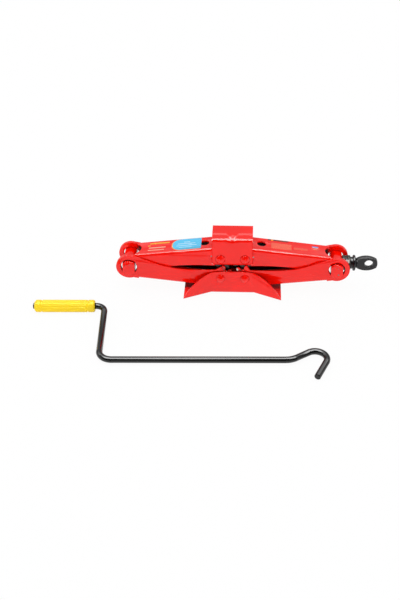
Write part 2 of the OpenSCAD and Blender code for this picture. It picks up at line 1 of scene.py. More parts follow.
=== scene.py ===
"""Dresses the scissor jack and its crank handle, and sets up the studio round them."""

import json
import math

import bmesh
import bpy
from bpy.props import FloatProperty, FloatVectorProperty, IntProperty, PointerProperty
from mathutils import Matrix, Vector


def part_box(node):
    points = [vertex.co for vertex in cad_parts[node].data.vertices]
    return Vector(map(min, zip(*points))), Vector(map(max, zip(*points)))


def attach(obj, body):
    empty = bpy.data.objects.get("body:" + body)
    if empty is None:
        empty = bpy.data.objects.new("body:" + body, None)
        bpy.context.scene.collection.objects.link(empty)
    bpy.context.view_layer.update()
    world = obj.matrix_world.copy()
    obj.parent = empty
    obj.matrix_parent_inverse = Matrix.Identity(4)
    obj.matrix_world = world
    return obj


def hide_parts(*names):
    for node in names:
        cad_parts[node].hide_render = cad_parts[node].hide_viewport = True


bl_info = {
    "name": "Scissor Jack",
    "version": (1, 0, 0),
    "blender": (4, 5, 0),
    "location": "3D View > Sidebar > Scissor Jack",
    "description": "Finishes for a lowered scissor jack with its loose crank handle",
    "category": "Add Mesh",
}

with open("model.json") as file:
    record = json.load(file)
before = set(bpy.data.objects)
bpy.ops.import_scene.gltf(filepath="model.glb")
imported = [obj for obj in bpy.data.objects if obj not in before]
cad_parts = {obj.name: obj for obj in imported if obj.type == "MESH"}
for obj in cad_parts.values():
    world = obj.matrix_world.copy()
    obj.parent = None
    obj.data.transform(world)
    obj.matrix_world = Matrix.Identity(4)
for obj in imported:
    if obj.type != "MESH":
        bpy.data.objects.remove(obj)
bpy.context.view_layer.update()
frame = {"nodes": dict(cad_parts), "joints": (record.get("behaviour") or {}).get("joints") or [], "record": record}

MM = 0.001


def hinge(name):
    """One of the record's hinges."""
    for joint in frame["joints"]:
        if joint["name"] == name:
            return joint
    raise RuntimeError(f"the record has no joint named {name}")


def head_radius(node):
    """Radius of a rivet's head."""
    low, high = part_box(node)
    return (high.x - low.x) / 2


# The right-hand pins. The left-hand ones mirror them.
BASE_PIN = Vector(hinge("lower_right_swing")["pos_m"])
TRUNNION = Vector(hinge("upper_right_swing")["pos_m"])
SADDLE_PIN = Vector((BASE_PIN.x, 0, 2 * TRUNNION.z - BASE_PIN.z))

# An arm's slope at rest, its length between pins, and the height of its web over the pins' line.
REST_ANGLE = math.atan2(TRUNNION.z - BASE_PIN.z, TRUNNION.x - BASE_PIN.x)
ARM = (TRUNNION - BASE_PIN).length
WEB = BASE_PIN.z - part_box("lower_arm_right")[0].z

# Outer half widths of the nested channels. The base's is taken between its flared wings.
UPPER_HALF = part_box("upper_arm_right")[1].y
LOWER_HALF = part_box("lower_arm_right")[1].y
BASE_HALF = 24.3 * MM

SHEET = 2.5 * MM
EAR_BORE = 11.8 * MM
SCREW_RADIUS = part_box("lead_screw")[1].y

# Half width of the shade that the arms throw on the base's floor.
SHADE_HALF = 14.3 * MM

# The bearing's painted highlight, a pale streak: the slope that it faces, its half width, and where it ends along
# X.
GLINT_SLOPE = math.radians(42)
GLINT_HALF = 2.2 * MM
GLINT_END = 171.9 * MM

# Punch marks on the ends of the trunnion bars, their grey partly a painted highlight: x, z and radius, in
# millimetres.
PUNCH_MARKS_AND_GLINTS = {
    "trunnion_nut": ((-163.0, 31.9, 0.7), (-157.5, 46.8, 0.5), (-151.5, 47.6, 0.5)),
    "trunnion_block": ((155.5, 36.5, 1.1), (150.5, 48.0, 0.4), (154.5, 46.6, 0.4)),
}

# Distances within which points of a new mesh, and of a CAD node, count as one.
MERGE = 0.01 * MM
CAD_MERGE = 0.002 * MM


# ---------------------------------------------------------------- settings


def colour(name, description, default):
    return FloatVectorProperty(
        name=name, description=description, default=default, subtype="COLOR", min=0, max=1, size=3
    )


def length(name, description, default):
    return FloatProperty(
        name=name, description=description, default=default, unit="LENGTH", min=0, precision=5
    )


def strength(name, description, default):
    return FloatProperty(name=name, description=description, default=default, min=0)


def share(name, description, default):
    return FloatProperty(
        name=name, description=description, default=default, subtype="FACTOR", min=0, max=1
    )


def count(name, description, default, least):
    return IntProperty(name=name, description=description, default=default, min=least)


class JackPaintSettings(bpy.types.PropertyGroup):
    red: colour("Red", "Colour of the paint on the pressed sheet", (0.97, 0.0045, 0.0003))
    # Painted shade: the near-black colour inside the arms' channels and trunnion holes, in the gaps at the ears
    # and high on the base's inner faces.
    painted_shade: colour("Shade_inside", "Colour inside the channels", (0.006, 0.0015, 0.0015))
    # Painted shade: the near-black colour on the teeth, where they lie in the gap between the arms.
    teeth_shade: colour("Teeth_shade", "Colour of the grease on the teeth", (0.006, 0.005, 0.005))
    worn: colour("Worn", "Colour of the sheet where the paint is rubbed off", (0.42, 0.41, 0.40))
    # Painted shade: the dark red of the rings round the rivet heads.
    rim_shade: colour("Rim_shade", "Colour of the dirt round the rivet heads", (0.35, 0.004, 0.003))
    reach: length("Reach", "How far the grime reaches along an arm's inside", 127 * MM)
    edge: length("Eased edge", "Width of the rounding along cut edges", 0.3 * MM)
    peel: length("Orange peel", "Size of the paint's ripples", 2.6 * MM)
    roughness: share("Roughness", "Roughness of the paint", 0.06)


class JackSaddleSettings(bpy.types.PropertyGroup):
    bend: length("Bend", "Outer radius of the saddle's long bends", 5.2 * MM)
    corner: length("Corner", "Radius of the lower corners", 4 * MM)
    wide: length("Width", "Length of the saddle along the screw", 59.4 * MM)
    shift: FloatProperty(
        name="Shift",
        description="How far the saddle's middle lies from the pins' middle",
        default=-0.7 * MM,
        unit="LENGTH",
        precision=5,
    )
    crown: length("Crown", "How much lower the front of the top is than its back", 1.1 * MM)
    crown_place: length("Crown place", "How far forward of the middle the top steps down", 5.8 * MM)
    crease: length("Crease", "Depth of the notch at the front bend", 2.5 * MM)
    crease_width: length("Crease width", "Half width of the notch at the front bend", 10 * MM)
    wings: length("Wings", "Half width of the step's dip towards the notch", 9.4 * MM)
    steps: count("Steps", "Steps along the saddle", 72, 12)


class JackRivetSettings(bpy.types.PropertyGroup):
    dome: FloatProperty(
        name="Dome",
        description="Slope of a head's dome at its rim",
        default=math.radians(52),
        min=math.radians(20),
        max=math.radians(80),
        subtype="ANGLE",
    )
    shank: length("Shank", "Radius of a rivet's shank", 5 * MM)


class JackScrewSettings(bpy.types.PropertyGroup):
    pitch: length("Pitch", "Pitch of the screw's thread", 3 * MM)
    depth: length("Depth", "Depth of the screw's thread", 1.5 * MM)
    steps: count("Steps", "Steps in one turn of the thread", 24, 8)
    steel: colour("Steel", "Colour of the oiled steel", (0.42, 0.41, 0.40))


class JackLabelSettings(bpy.types.PropertyGroup):
    blue: colour("Blue", "Colour of the bare label", (0.11, 0.60, 0.93))
    rim: colour("Rim", "Colour of the label's rim", (0.93, 0.42, 0.10))
    yellow: colour("Yellow", "Colour of the printed bars", (0.93, 0.40, 0.03))
    pale: colour("Pale", "Colour of the pale printed bars", (0.90, 0.42, 0.30))
    film: length("Film", "Height of a label over the sheet", 0.12 * MM)


class JackCrankSettings(bpy.types.PropertyGroup):
    black: colour("Black", "Colour of the rod", (0.003, 0.003, 0.003))
    yellow: colour("Yellow", "Colour of the grip", (1.0, 0.705, 0.003))
    bore: length("Bore", "Radius of the hole through the grip", 4.6 * MM)
    collar: length("Collar", "Length of the plain collar at each end of the grip", 9 * MM)
    neck: length("Neck", "Depth of the two necks of the grip", 0.7 * MM)
    groove: length("Groove", "Depth of the grooves between the ribs", 0.45 * MM)
    ribs: count("Ribs", "Number of ribs round the grip", 16, 6)


class JackStageSettings(bpy.types.PropertyGroup):
    floor: colour("Floor", "Colour of the floor", (0.93, 0.93, 0.93))
    sky: strength("Sky", "Strength of the even light", 0.98)
    top_light: FloatProperty(
        name="Top light",
        description="Power of the overhead lamp",
        default=2.5,
        min=0,
        unit="POWER",
    )
    card: strength("Card", "Strength of the softbox in reflections", 12.5)
    front: strength("Front", "Strength of the dark front in reflections", 0.02)
    back: strength("Back", "Strength of the back wall in reflections", 0.5)
    sides: strength("Sides", "Strength of the side walls in reflections", 0.7)
    glow: strength("Glow", "Strength added behind the softbox in reflections", 2.6)
    cover: share("Cover", "Share of white in the floor that the camera sees", 0.95)


class JackSettings(bpy.types.PropertyGroup):
    paint: PointerProperty(type=JackPaintSettings)
    saddle: PointerProperty(type=JackSaddleSettings)
    rivets: PointerProperty(type=JackRivetSettings)
    screw: PointerProperty(type=JackScrewSettings)
    labels: PointerProperty(type=JackLabelSettings)
    crank: PointerProperty(type=JackCrankSettings)
    stage: PointerProperty(type=JackStageSettings)


# ---------------------------------------------------------------- shader maths


class Wire:
    """An output socket. Arithmetic on it adds Math nodes."""

    def __init__(self, graph, socket):
        self.graph, self.socket = graph, socket

    def maths(self, operation, *others, clamp=False):
        settings = {"operation": operation, "use_clamp": clamp}
        return self.graph.add("ShaderNodeMath", settings, dict(enumerate((self, *others))))

    def __add__(self, other):
        return self.maths("ADD", other)

    __radd__ = __add__

    def __sub__(self, other):
        return self.maths("SUBTRACT", other)

    def __rsub__(self, other):
        return self.graph.add("ShaderNodeMath", {"operation": "SUBTRACT"}, {0: other, 1: self})

    def __mul__(self, other):
        return self.maths("MULTIPLY", other)

    __rmul__ = __mul__

    def __pow__(self, other):
        return self.maths("POWER", other)

    def __abs__(self):
        return self.maths("ABSOLUTE")

    def clamped(self):
        return self.maths("ADD", 0.0, clamp=True)

    def ramp(self, low, high):
        """0 at low, 1 at high, smooth between them; high may be less than low."""
        out = self.graph.add(
            "ShaderNodeMapRange",
            {"interpolation_type": "SMOOTHSTEP"},
            {"Value": self, "From Min": min(low, high), "From Max": max(low, high)},
        )
        return 1 - out if high < low else out


class Graph:
    """The nodes of a material or of the world."""

    def __init__(self, tree):
        self.tree = tree

    def add(self, kind, settings=None, sockets=None, output=0):
        """Adds a node: its settings first, then the values or links of its sockets."""
        node = self.tree.nodes.new(kind)
        for key, value in (settings or {}).items():
            setattr(node, key, value)
        for key, value in (sockets or {}).items():
            self.feed(node.inputs[key], value)
        return Wire(self, node.outputs[output])

    def feed(self, socket, value):
        if isinstance(value, Wire):
            self.tree.links.new(value.socket, socket)
        elif socket.type == "RGBA" and len(value) == 3:
            socket.default_value = (*value, 1)
        else:
            socket.default_value = value

    def split(self, vector):
        """The three coordinates of a vector."""
        x = self.add("ShaderNodeSeparateXYZ", None, {"Vector": vector})
        return [Wire(self, o) for o in x.socket.node.outputs]

    def rays(self):
        """The kinds of ray, by their socket names."""
        camera_ray = self.add("ShaderNodeLightPath")
        return {o.name: Wire(self, o) for o in camera_ray.socket.node.outputs}


class Finish(Graph):
    """A material made of one Principled shader, whose constants go by its socket names."""

    def __init__(self, name, constants):
        self.material = bpy.data.materials.new(name)
        self.material.use_nodes = True
        super().__init__(self.material.node_tree)
        self.shader = self.tree.nodes["Principled BSDF"]
        for key, value in constants.items():
            self.set(key, value)

    def set(self, name, value):
        self.feed(self.shader.inputs[name], value)
        return self

    def place(self):
        """Object coordinates."""
        return self.add("ShaderNodeTexCoord", output="Object")

    def moved(self, vector, offset=(0, 0, 0), turn=(0, 0, 0), scale=(1, 1, 1)):
        """Coordinates that are scaled, then turned, then moved."""
        return self.add(
            "ShaderNodeMapping",
            {"vector_type": "POINT"},
            {"Vector": vector, "Location": offset, "Rotation": turn, "Scale": scale},
        )

    def noise(self, size, detail=2.0, stretch=(1, 1, 1)):
        """Soft noise from 0 to 1 whose features are about size across."""
        at = self.moved(self.place(), scale=stretch)
        sockets = {"Vector": at, "Scale": 1 / size, "Detail": detail}
        return self.add("ShaderNodeTexNoise", None, sockets)

    def mix(self, factor, a, b):
        """Colour a where the factor is 0, and b where it is 1."""
        sockets = {0: factor, 6: a, 7: b}
        return self.add("ShaderNodeMix", {"data_type": "RGBA"}, sockets, output=2)

    def bump(self, height, distance, strength):
        sockets = {"Strength": strength, "Distance": distance, "Height": height}
        return self.set("Normal", self.add("ShaderNodeBump", None, sockets))


def scaled(tint, factor, lift=0.0):
    """A darker or lighter shade of a colour."""
    return tuple(min(1, factor * c + lift) for c in tint)


def away_from(x, y, centre):
    """Distance from a centre, in the plane of two coordinates."""
    return ((x - centre[0]) ** 2 + (y - centre[1]) ** 2) ** 0.5


def red_paint(name, rings=(), spots=(), extra=None, rim_shade=0.7):
    """Glossy red paint. Rings of painted shade lie round heads; spots are rubbed places and punch marks, the punch
    marks' grey partly a painted highlight.

    Extra changes the colour and the roughness under them, and rim_shade is the rings' strength.
    """
    s = bpy.context.scene.scissor_jack.paint
    f = Finish(name, {"IOR": 1.5})
    cloud = f.noise(35 * MM, 3.0)
    paint = f.mix(cloud.ramp(0.35, 0.7), scaled(s.red, 0.96), scaled(s.red, 1.03))
    rough = s.roughness + 0.05 * f.noise(8 * MM, 3.0)
    if extra:
        paint, rough = extra(f, paint, rough)
    x, _, z = f.split(f.place())
    # Painted shade: a dark ring round each rivet head's rim.
    for centre, radius in rings:
        line = abs(away_from(x, z, centre) - radius).ramp(0.8 * MM, 0.2 * MM)
        paint = f.mix(rim_shade * line, paint, tuple(s.rim_shade))
    for centre, radius, tint in spots:
        spot = away_from(x, z, centre).ramp(radius + 0.4 * MM, radius)
        paint = f.mix(spot, paint, tint)
    f.set("Base Color", paint).set("Roughness", rough)
    f.bump(f.noise(s.peel, 1.0), 0.02 * MM, 0.35)
    return f.material


def base_inside(f, paint, rough):
    """Painted shade inside the base: the side plates' inner faces darker, near black towards their tops, and the
    floor dark under the arms.
    """
    s = bpy.context.scene.scissor_jack.paint
    _, y, z = f.split(f.place())
    _, facing, up = f.split(f.add("ShaderNodeNewGeometry", output="Normal"))
    ground = up.ramp(0.9, 0.98) * z.ramp(SHEET + 0.6 * MM, SHEET + 0.2 * MM)
    shade = ground * abs(y).ramp(SHADE_HALF + 0.9 * MM, SHADE_HALF - 0.9 * MM)
    paint = f.mix(shade, paint, scaled(s.red, 0.15))
    # Painted shade: the side plates' inner faces a little darker, and near black towards their tops.
    inner = (y * facing).ramp(0, -2 * MM)
    paint = f.mix(0.35 * inner, paint, scaled(s.red, 0.8))
    paint = f.mix(inner * z.ramp(11 * MM, 27 * MM), paint, tuple(s.painted_shade))
    return paint, rough + 0.5 * ground + 0.3 * inner


def along_arm(f, pin, side, outward):
    """Object coordinates turned to an arm's own: along it from its pin, across it, and up."""
    local = f.moved(f.place(), offset=(-side * pin.x, 0, -pin.z))
    x, y, z = f.split(f.moved(local, turn=(0, -outward * side * REST_ANGLE, 0)))
    return x * side, y, z


def arm_inside(half, side, outward):
    """Painted shade inside an arm's channel, in its trunnion holes and on its teeth, near black where shade falls;
    on the lower arms' teeth it lies in patches.

    The arm is half wide to each side. Outward is 1 for an upper arm, whose web is above, and
    -1 for a lower one.
    """
    s = bpy.context.scene.scissor_jack.paint

    def shaded(f, paint, rough):
        along, y, z = along_arm(f, SADDLE_PIN if outward > 0 else BASE_PIN, side, outward)
        out = z * outward
        between = abs(y).ramp(half - SHEET + 0.6 * MM, half - SHEET + 0.2 * MM)
        under = out.ramp(WEB - SHEET + 0.1 * MM, WEB - SHEET - 0.3 * MM)
        inside = between * under * along.ramp(s.reach, s.reach - 6 * MM)
        bore = away_from(along, z, (ARM, 0)).ramp(EAR_BORE + 0.3 * MM, EAR_BORE)
        # Painted shade: near black inside the channel and round the trunnion hole.
        paint = f.mix(inside, paint, tuple(s.painted_shade))
        paint = f.mix(bore, paint, tuple(s.painted_shade))
        # Painted shade: the teeth near black, in patches on a lower arm's teeth.
        teeth = away_from(along, z, (0, 0)).ramp(9.5 * MM, 11.5 * MM)
        if outward > 0:
            teeth = teeth * along.ramp(11 * MM, 9 * MM) * out.ramp(-4 * MM, -7 * MM)
        else:
            teeth = teeth * along.ramp(3 * MM, 0) * f.noise(2.2 * MM, 3.0).ramp(0.50, 0.60)
        paint = f.mix(teeth, paint, tuple(s.teeth_shade))
        return paint, rough + 0.4 * (inside + bore).clamped()

    return shaded


def shade_in_ears(f, paint, rough):
    """Painted shade in the gap between a trunnion bar and its ears."""
    _, y, _ = f.split(f.place())
    gap = abs(y).ramp(LOWER_HALF - 4 * MM, LOWER_HALF - 2.5 * MM)
    gap = gap * abs(y).ramp(LOWER_HALF + 1.6 * MM, LOWER_HALF + 0.6 * MM)
    # Painted shade: near black in the gap at the ears.
    painted_shade = tuple(bpy.context.scene.scissor_jack.paint.painted_shade)
    return f.mix(gap, paint, painted_shade), rough + 0.3 * gap


def head_rings(node, pin):
    """The rings of painted shade round a left and a right rivet head: each one's centre and radius."""
    radius = head_radius(node) + 0.2 * MM
    return [((side * pin.x, pin.z), radius) for side in (-1, 1)]


def steel(name, tint, rough, streak):
    """Oiled steel, with a grain that is longer round the screw where streak is under 1."""
    f = Finish(name, {"Metallic": 1.0, "IOR": 1.5})
    grain = f.noise(0.9 * MM, 3.0, stretch=(1, streak, streak))
    f.set("Base Color", f.mix(f.noise(6 * MM, 3.0), scaled(tint, 0.8), tint))
    f.set("Roughness", rough + 0.15 * grain)
    f.bump(grain, 0.01 * MM, 0.4)
    return f.material


def painted_glint(f):
    """1 on a painted highlight, a pale streak along the front of the bearing, and 0 elsewhere."""
    sine, cosine, soft = math.sin(GLINT_SLOPE), math.cos(GLINT_SLOPE), 0.5 * MM
    x, y, z = f.split(f.moved(f.place(), offset=(0, 0, -TRUNNION.z)))
    band = abs(z * cosine + y * sine).ramp(GLINT_HALF + soft, GLINT_HALF - soft)
    front = (z * sine - y * cosine).ramp(0, 1 * MM)
    return band * front * x.ramp(GLINT_END + soft, GLINT_END - soft)


def dark_coat(name, tint, rough, ripple=1.4 * MM, ior=1.5, rubbed=None):
    """Black coat. Where rubbed gives a tint, it has the bearing's painted highlight, a streak in that tint."""
    f = Finish(name, {"IOR": ior})
    paint = f.mix(f.noise(9 * MM, 3.0), tint, scaled(tint, 1.6, 0.002))
    if rubbed:
        # Painted highlight: the streak in the rubbed tint.
        paint = f.mix(painted_glint(f), paint, rubbed)
    f.set("Base Color", paint)
    f.set("Roughness", rough + 0.06 * f.noise(3 * MM, 3.0))
    f.bump(f.noise(ripple), 0.015 * MM, 0.6)
    return f.material


# ---------------------------------------------------------------- mesh helpers


def finished(bm, name, body, material, smooth=True):
    """Turns a bmesh into a piece that rides on a body."""
    mesh = bpy.data.meshes.new(name)
    for face in bm.faces:
        face.smooth = smooth
    bm.to_mesh(mesh)
    bm.free()
    piece = bpy.data.objects.new(name, mesh)
    bpy.context.scene.collection.objects.link(piece)
    mesh.materials.append(material)
    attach(piece, body)
    return piece


def body_with(node):
    """Name of the body that a CAD node belongs to."""
    for body, nodes in frame["record"]["behaviour"]["bodies"].items():
        if node in nodes:
            return body
    raise RuntimeError(f"no body holds {node}")


def ease_edges(piece, width, segments=2, angle=28):
    """Rounds the edges that turn by more than an angle in degrees."""
    bevel = piece.modifiers.new("Eased edges", "BEVEL")
    bevel.width, bevel.segments = width, segments
    bevel.limit_method, bevel.angle_limit = "ANGLE", math.radians(angle)
    bevel.miter_outer = "MITER_ARC"
    bevel.harden_normals = True
    bevel.use_clamp_overlap = True


def dressed(node, material, width, segments=2):
    """Puts a merged copy of a CAD node, with its cut edges eased, in the node's place."""
    bm = bmesh.new()
    bm.from_mesh(frame["nodes"][node].data)
    bmesh.ops.remove_doubles(bm, verts=bm.verts, dist=CAD_MERGE)
    bmesh.ops.dissolve_limit(
        bm,
        angle_limit=math.radians(0.5),
        verts=bm.verts,
        edges=bm.edges,
        use_dissolve_boundaries=False,
    )
    piece = finished(bm, node + "_skin", body_with(node), material)
    ease_edges(piece, width, segments)
    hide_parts(node)


def coat(node, material):
    """Gives a CAD node's own object a material."""
    mesh = frame["nodes"][node].data
    mesh.materials.clear()
    mesh.materials.append(material)


def joined(bm, places, closed=False):
    """The points and edges of a new line through places, for a spin to sweep."""
    verts = [bm.verts.new(place) for place in places]
    ends = verts[1:] + verts[:1] if closed else verts[1:]
    return verts + [bm.edges.new(pair) for pair in zip(verts, ends)]


def welded(bm):
    """Merges the points that meet, and turns the faces outward."""
    bmesh.ops.remove_doubles(bm, verts=bm.verts, dist=MERGE)
    bmesh.ops.recalc_face_normals(bm, faces=bm.faces)


def smooth_step(value, start, end):
    """0 at start, 1 at end, smooth between them; start may be more than end."""
    part = min(1, max(0, (value - start) / (end - start)))
    return part * part * (3 - 2 * part)


def on_web(side, along, across, height):
    """A place over the outside of an upper arm's web, in the object's frame."""
    cosine, sine = math.cos(REST_ANGLE), math.sin(REST_ANGLE)
    up = WEB + height
    x = SADDLE_PIN.x + along * cosine + up * sine
    return Vector((side * x, across, SADDLE_PIN.z - along * sine + up * cosine))


# ---------------------------------------------------------------- pieces


class JACK_OT_channels(bpy.types.Operator):
    """Finish the base and the four geared arms"""

    bl_idname = "jack.channels"
    bl_label = "Pressed channels"

    def execute(self, context):
        s = context.scene.scissor_jack.paint
        rings = head_rings("base_rivet_right", BASE_PIN)
        paint = red_paint("red_paint_base", rings, extra=base_inside, rim_shade=0.45)
        dressed("base_channel", paint, s.edge)
        worn = tuple(s.worn)
        bare = (0.72, 0.66, 0.58)
        for node, spots in (
            ("lower_arm_left", ()),
            ("lower_arm_right", [((6.0 * MM, 40.1 * MM), 2.0 * MM, bare)]),
            ("upper_arm_left", [((-31.2 * MM, 60.9 * MM), 1.1 * MM, worn)]),
            ("upper_arm_right", [((30.1 * MM, 60.2 * MM), 0.9 * MM, worn)]),
        ):
            side = -1 if node.endswith("left") else 1
            upper = node.startswith("upper")
            inside = arm_inside(UPPER_HALF if upper else LOWER_HALF, side, 1 if upper else -1)
            paint = red_paint("red_paint_" + node, spots=spots, extra=inside)
            dressed(node, paint, s.edge)
        return {"FINISHED"}


class JACK_OT_saddle(bpy.types.Operator):
    """Press the saddle from one sheet, with a crowned top and a notch in its front bend"""

    bl_idname = "jack.saddle"
    bl_label = "Saddle"

    def execute(self, context):
        s = context.scene.scissor_jack.saddle
        low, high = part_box("saddle")
        bm = bmesh.new()
        self.sweep(bm, s, low, high)
        # Rounds the lower corners, and lowers the top to its crown and its notch.
        for v in bm.verts:
            x = abs(v.co.x - s.shift)
            corner = x - (s.wide / 2 - s.corner)
            if corner > 0 and v.co.z < low.z + s.corner / 2:
                v.co.z = low.z + s.corner - math.sqrt(max(0, s.corner**2 - corner**2))
            else:
                v.co.z -= self.dip(s, high, x, v.co.y, v.co.z)
        paint = red_paint("red_paint_saddle", head_rings("saddle_rivet_right", SADDLE_PIN))
        piece = finished(bm, "saddle_skin", "saddle", paint)
        wall = piece.modifiers.new("Sheet", "SOLIDIFY")
        wall.thickness, wall.offset, wall.use_even_offset = SHEET, -1, True
        ease_edges(piece, context.scene.scissor_jack.paint.edge, 2, 40)
        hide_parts("saddle")
        return {"FINISHED"}

    def sweep(self, bm, s, low, high):
        """The outside of the sheet: an upside-down U, drawn in YZ and swept along X."""
        half, straight = high.y, high.z - s.bend
        rows, columns, turn = 14, 18, 6
        front = [(-half, low.z + i * (straight - low.z) / rows) for i in range(rows)]
        for angle in map(math.radians, range(0, 90, turn)):
            inward, rise = 1 - math.cos(angle), math.sin(angle)
            front.append((-half + s.bend * inward, straight + s.bend * rise))
        flat = half - s.bend
        top = [(-flat + i * flat / columns, high.z) for i in range(columns + 1)]
        profile = front + top + [(-y, z) for y, z in reversed(front + top[:-1])]
        bmesh.ops.spin(
            bm,
            geom=joined(bm, [(s.shift - s.wide / 2, y, z) for y, z in profile]),
            cent=(0, 0, 0),
            axis=(1, 0, 0),
            dvec=(s.wide / s.steps, 0, 0),
            angle=0,
            steps=s.steps,
            use_merge=False,
        )
        welded(bm)
        highest = max(bm.faces, key=lambda face: face.calc_center_median().z)
        if highest.normal.z < 0:
            bmesh.ops.reverse_faces(bm, faces=bm.faces)

    def dip(self, s, high, x, y, z):
        """How far the crown and the notch lower a place on the sheet, x from its middle."""
        fade, soft, lead, tip = 7 * MM, 3 * MM, 8 * MM, 2 * MM
        rise = smooth_step(z, high.z - s.bend - fade, high.z - 0.5 * MM)
        step = -s.crown_place - 1.5 * max(0, s.wings - x)
        crown = s.crown * smooth_step(y, step + soft, step - soft)
        depth = min(1, max(0, (y + lead) / (-high.y + tip + lead)))
        notch = max(0, s.crease * (depth - math.hypot(x, 0.5 * MM) / s.crease_width))
        return rise * (crown + notch)


class JACK_OT_rivets(bpy.types.Operator):
    """Finish the four hinge rivets and the two trunnion bars"""

    bl_idname = "jack.rivets"
    bl_label = "Rivets and trunnions"

    def rivet(self, place, side, wall, paint):
        """A rivet turned from one profile: a shank and two domed heads with upright rims.

        The heads sit on the sheet at wall from the middle.
        """
        s = bpy.context.scene.scissor_jack.rivets
        node = f"{place}_rivet_{side}"
        low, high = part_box(node)
        centre = (low + high) / 2
        radius, tip, rings = head_radius(node), high.y, 10
        dome = radius / math.sin(s.dome)
        head = []
        for i in range(rings + 1):
            angle = s.dome * i / rings
            head.append((dome * math.sin(angle), tip - dome * (1 - math.cos(angle))))
        head += [(radius, wall), (s.shank, wall - 0.4 * MM)]
        outline = [(r, -y) for r, y in head] + [(r, y) for r, y in reversed(head)]
        bm = bmesh.new()
        bmesh.ops.spin(
            bm,
            geom=joined(bm, [centre + Vector((r, y, 0)) for r, y in outline]),
            cent=centre,
            axis=(0, 1, 0),
            angle=2 * math.pi,
            steps=64,
            use_merge=True,
        )
        welded(bm)
        piece = finished(bm, node + "_skin", body_with(node), paint)
        ease_edges(piece, 0.25 * MM, 2, 30)
        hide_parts(node)

    def execute(self, context):
        s = context.scene.scissor_jack.paint
        paint = red_paint("red_paint_rivets")
        for place, wall in (("base", BASE_HALF), ("saddle", LOWER_HALF)):
            for side in ("left", "right"):
                self.rivet(place, side, wall, paint)
        # The punch marks' grey is partly a painted highlight.
        punch_and_glint = (0.25, 0.12, 0.10)
        for node, marks in PUNCH_MARKS_AND_GLINTS.items():
            spots = [((x * MM, z * MM), radius * MM, punch_and_glint) for x, z, radius in marks]
            paint = red_paint("red_paint_" + node, spots=spots, extra=shade_in_ears)
            dressed(node, paint, s.edge)
        return {"FINISHED"}


class JACK_OT_screw(bpy.types.Operator):
    """Cut the thread on the lead screw and finish its bearing, collar and eye"""

    bl_idname = "jack.screw"
    bl_label = "Screw, bearing and eye"

    def execute(self, context):
        self.thread(context.scene.scissor_jack.screw)
        # Painted highlight: the pale tint of the streak along the bearing's front, on the rings and the cage.
        rubbed = (0.70, 0.72, 0.68)
        ring = dark_coat("blackened_steel", (0.040, 0.039, 0.034), 0.22, ior=1.25, rubbed=rubbed)
        cage = dark_coat("cage_black", (0.010, 0.010, 0.010), 0.3, ior=1.3, rubbed=rubbed)
        collar = dark_coat("collar_black", (0.006, 0.006, 0.007), 0.14)
        eye = dark_coat("eye_black", (0.013, 0.013, 0.014), 0.3, ior=1.4)
        dressed("bearing_ring_fixed", ring, 0.2 * MM)
        dressed("bearing_ring_turning", ring, 0.2 * MM)
        dressed("bearing_cage", cage, 0.1 * MM)
        coat("bearing_balls", steel("ball_steel", (0.55, 0.55, 0.55), 0.15, 0.3))
        dressed("thrust_collar", collar, 0.1 * MM)
        dressed("screw_eye", eye, 0.7 * MM, 3)
        return {"FINISHED"}

    def thread(self, s):
        """The screw, threaded from its far end to the right trunnion bar, and plain beyond."""
        low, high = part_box("lead_screw")
        axis = Vector((0, 0, TRUNNION.z))
        crest, root, tip = SCREW_RADIUS, SCREW_RADIUS - s.depth, 1.5 * MM
        start, end = low.x + tip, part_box("trunnion_block")[0].x
        turns = math.floor((end - start) / s.pitch)
        # One tooth: places as shares of the pitch, and their radii.
        tooth = ((0, root), (0.14, root), (0.36, crest), (0.64, crest), (0.86, root), (1, root))
        bm = bmesh.new()
        bmesh.ops.spin(
            bm,
            geom=joined(bm, [axis + Vector((start + t * s.pitch, 0, r)) for t, r in tooth]),
            cent=axis,
            axis=(1, 0, 0),
            dvec=(s.pitch / s.steps, 0, 0),
            angle=2 * math.pi * turns,
            steps=s.steps * turns,
            use_merge=False,
        )
        welded(bm)
        along_x = Matrix.Rotation(math.pi / 2, 4, "Y")
        for place, radius, depth in (
            (start, root + 0.3 * MM, 2 * tip),
            ((end + high.x) / 2, crest, high.x - end),
        ):
            bmesh.ops.create_cone(
                bm,
                cap_ends=True,
                segments=64,
                radius1=radius,
                radius2=radius,
                depth=depth,
                matrix=Matrix.Translation(axis + Vector((place, 0, 0))) @ along_x,
            )
        oiled = steel("oiled_steel", tuple(s.steel), 0.28, 0.2)
        screw = finished(bm, "threaded_screw", "screw", oiled)
        ease_edges(screw, 0.15 * MM, 1, 25)
        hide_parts("lead_screw")


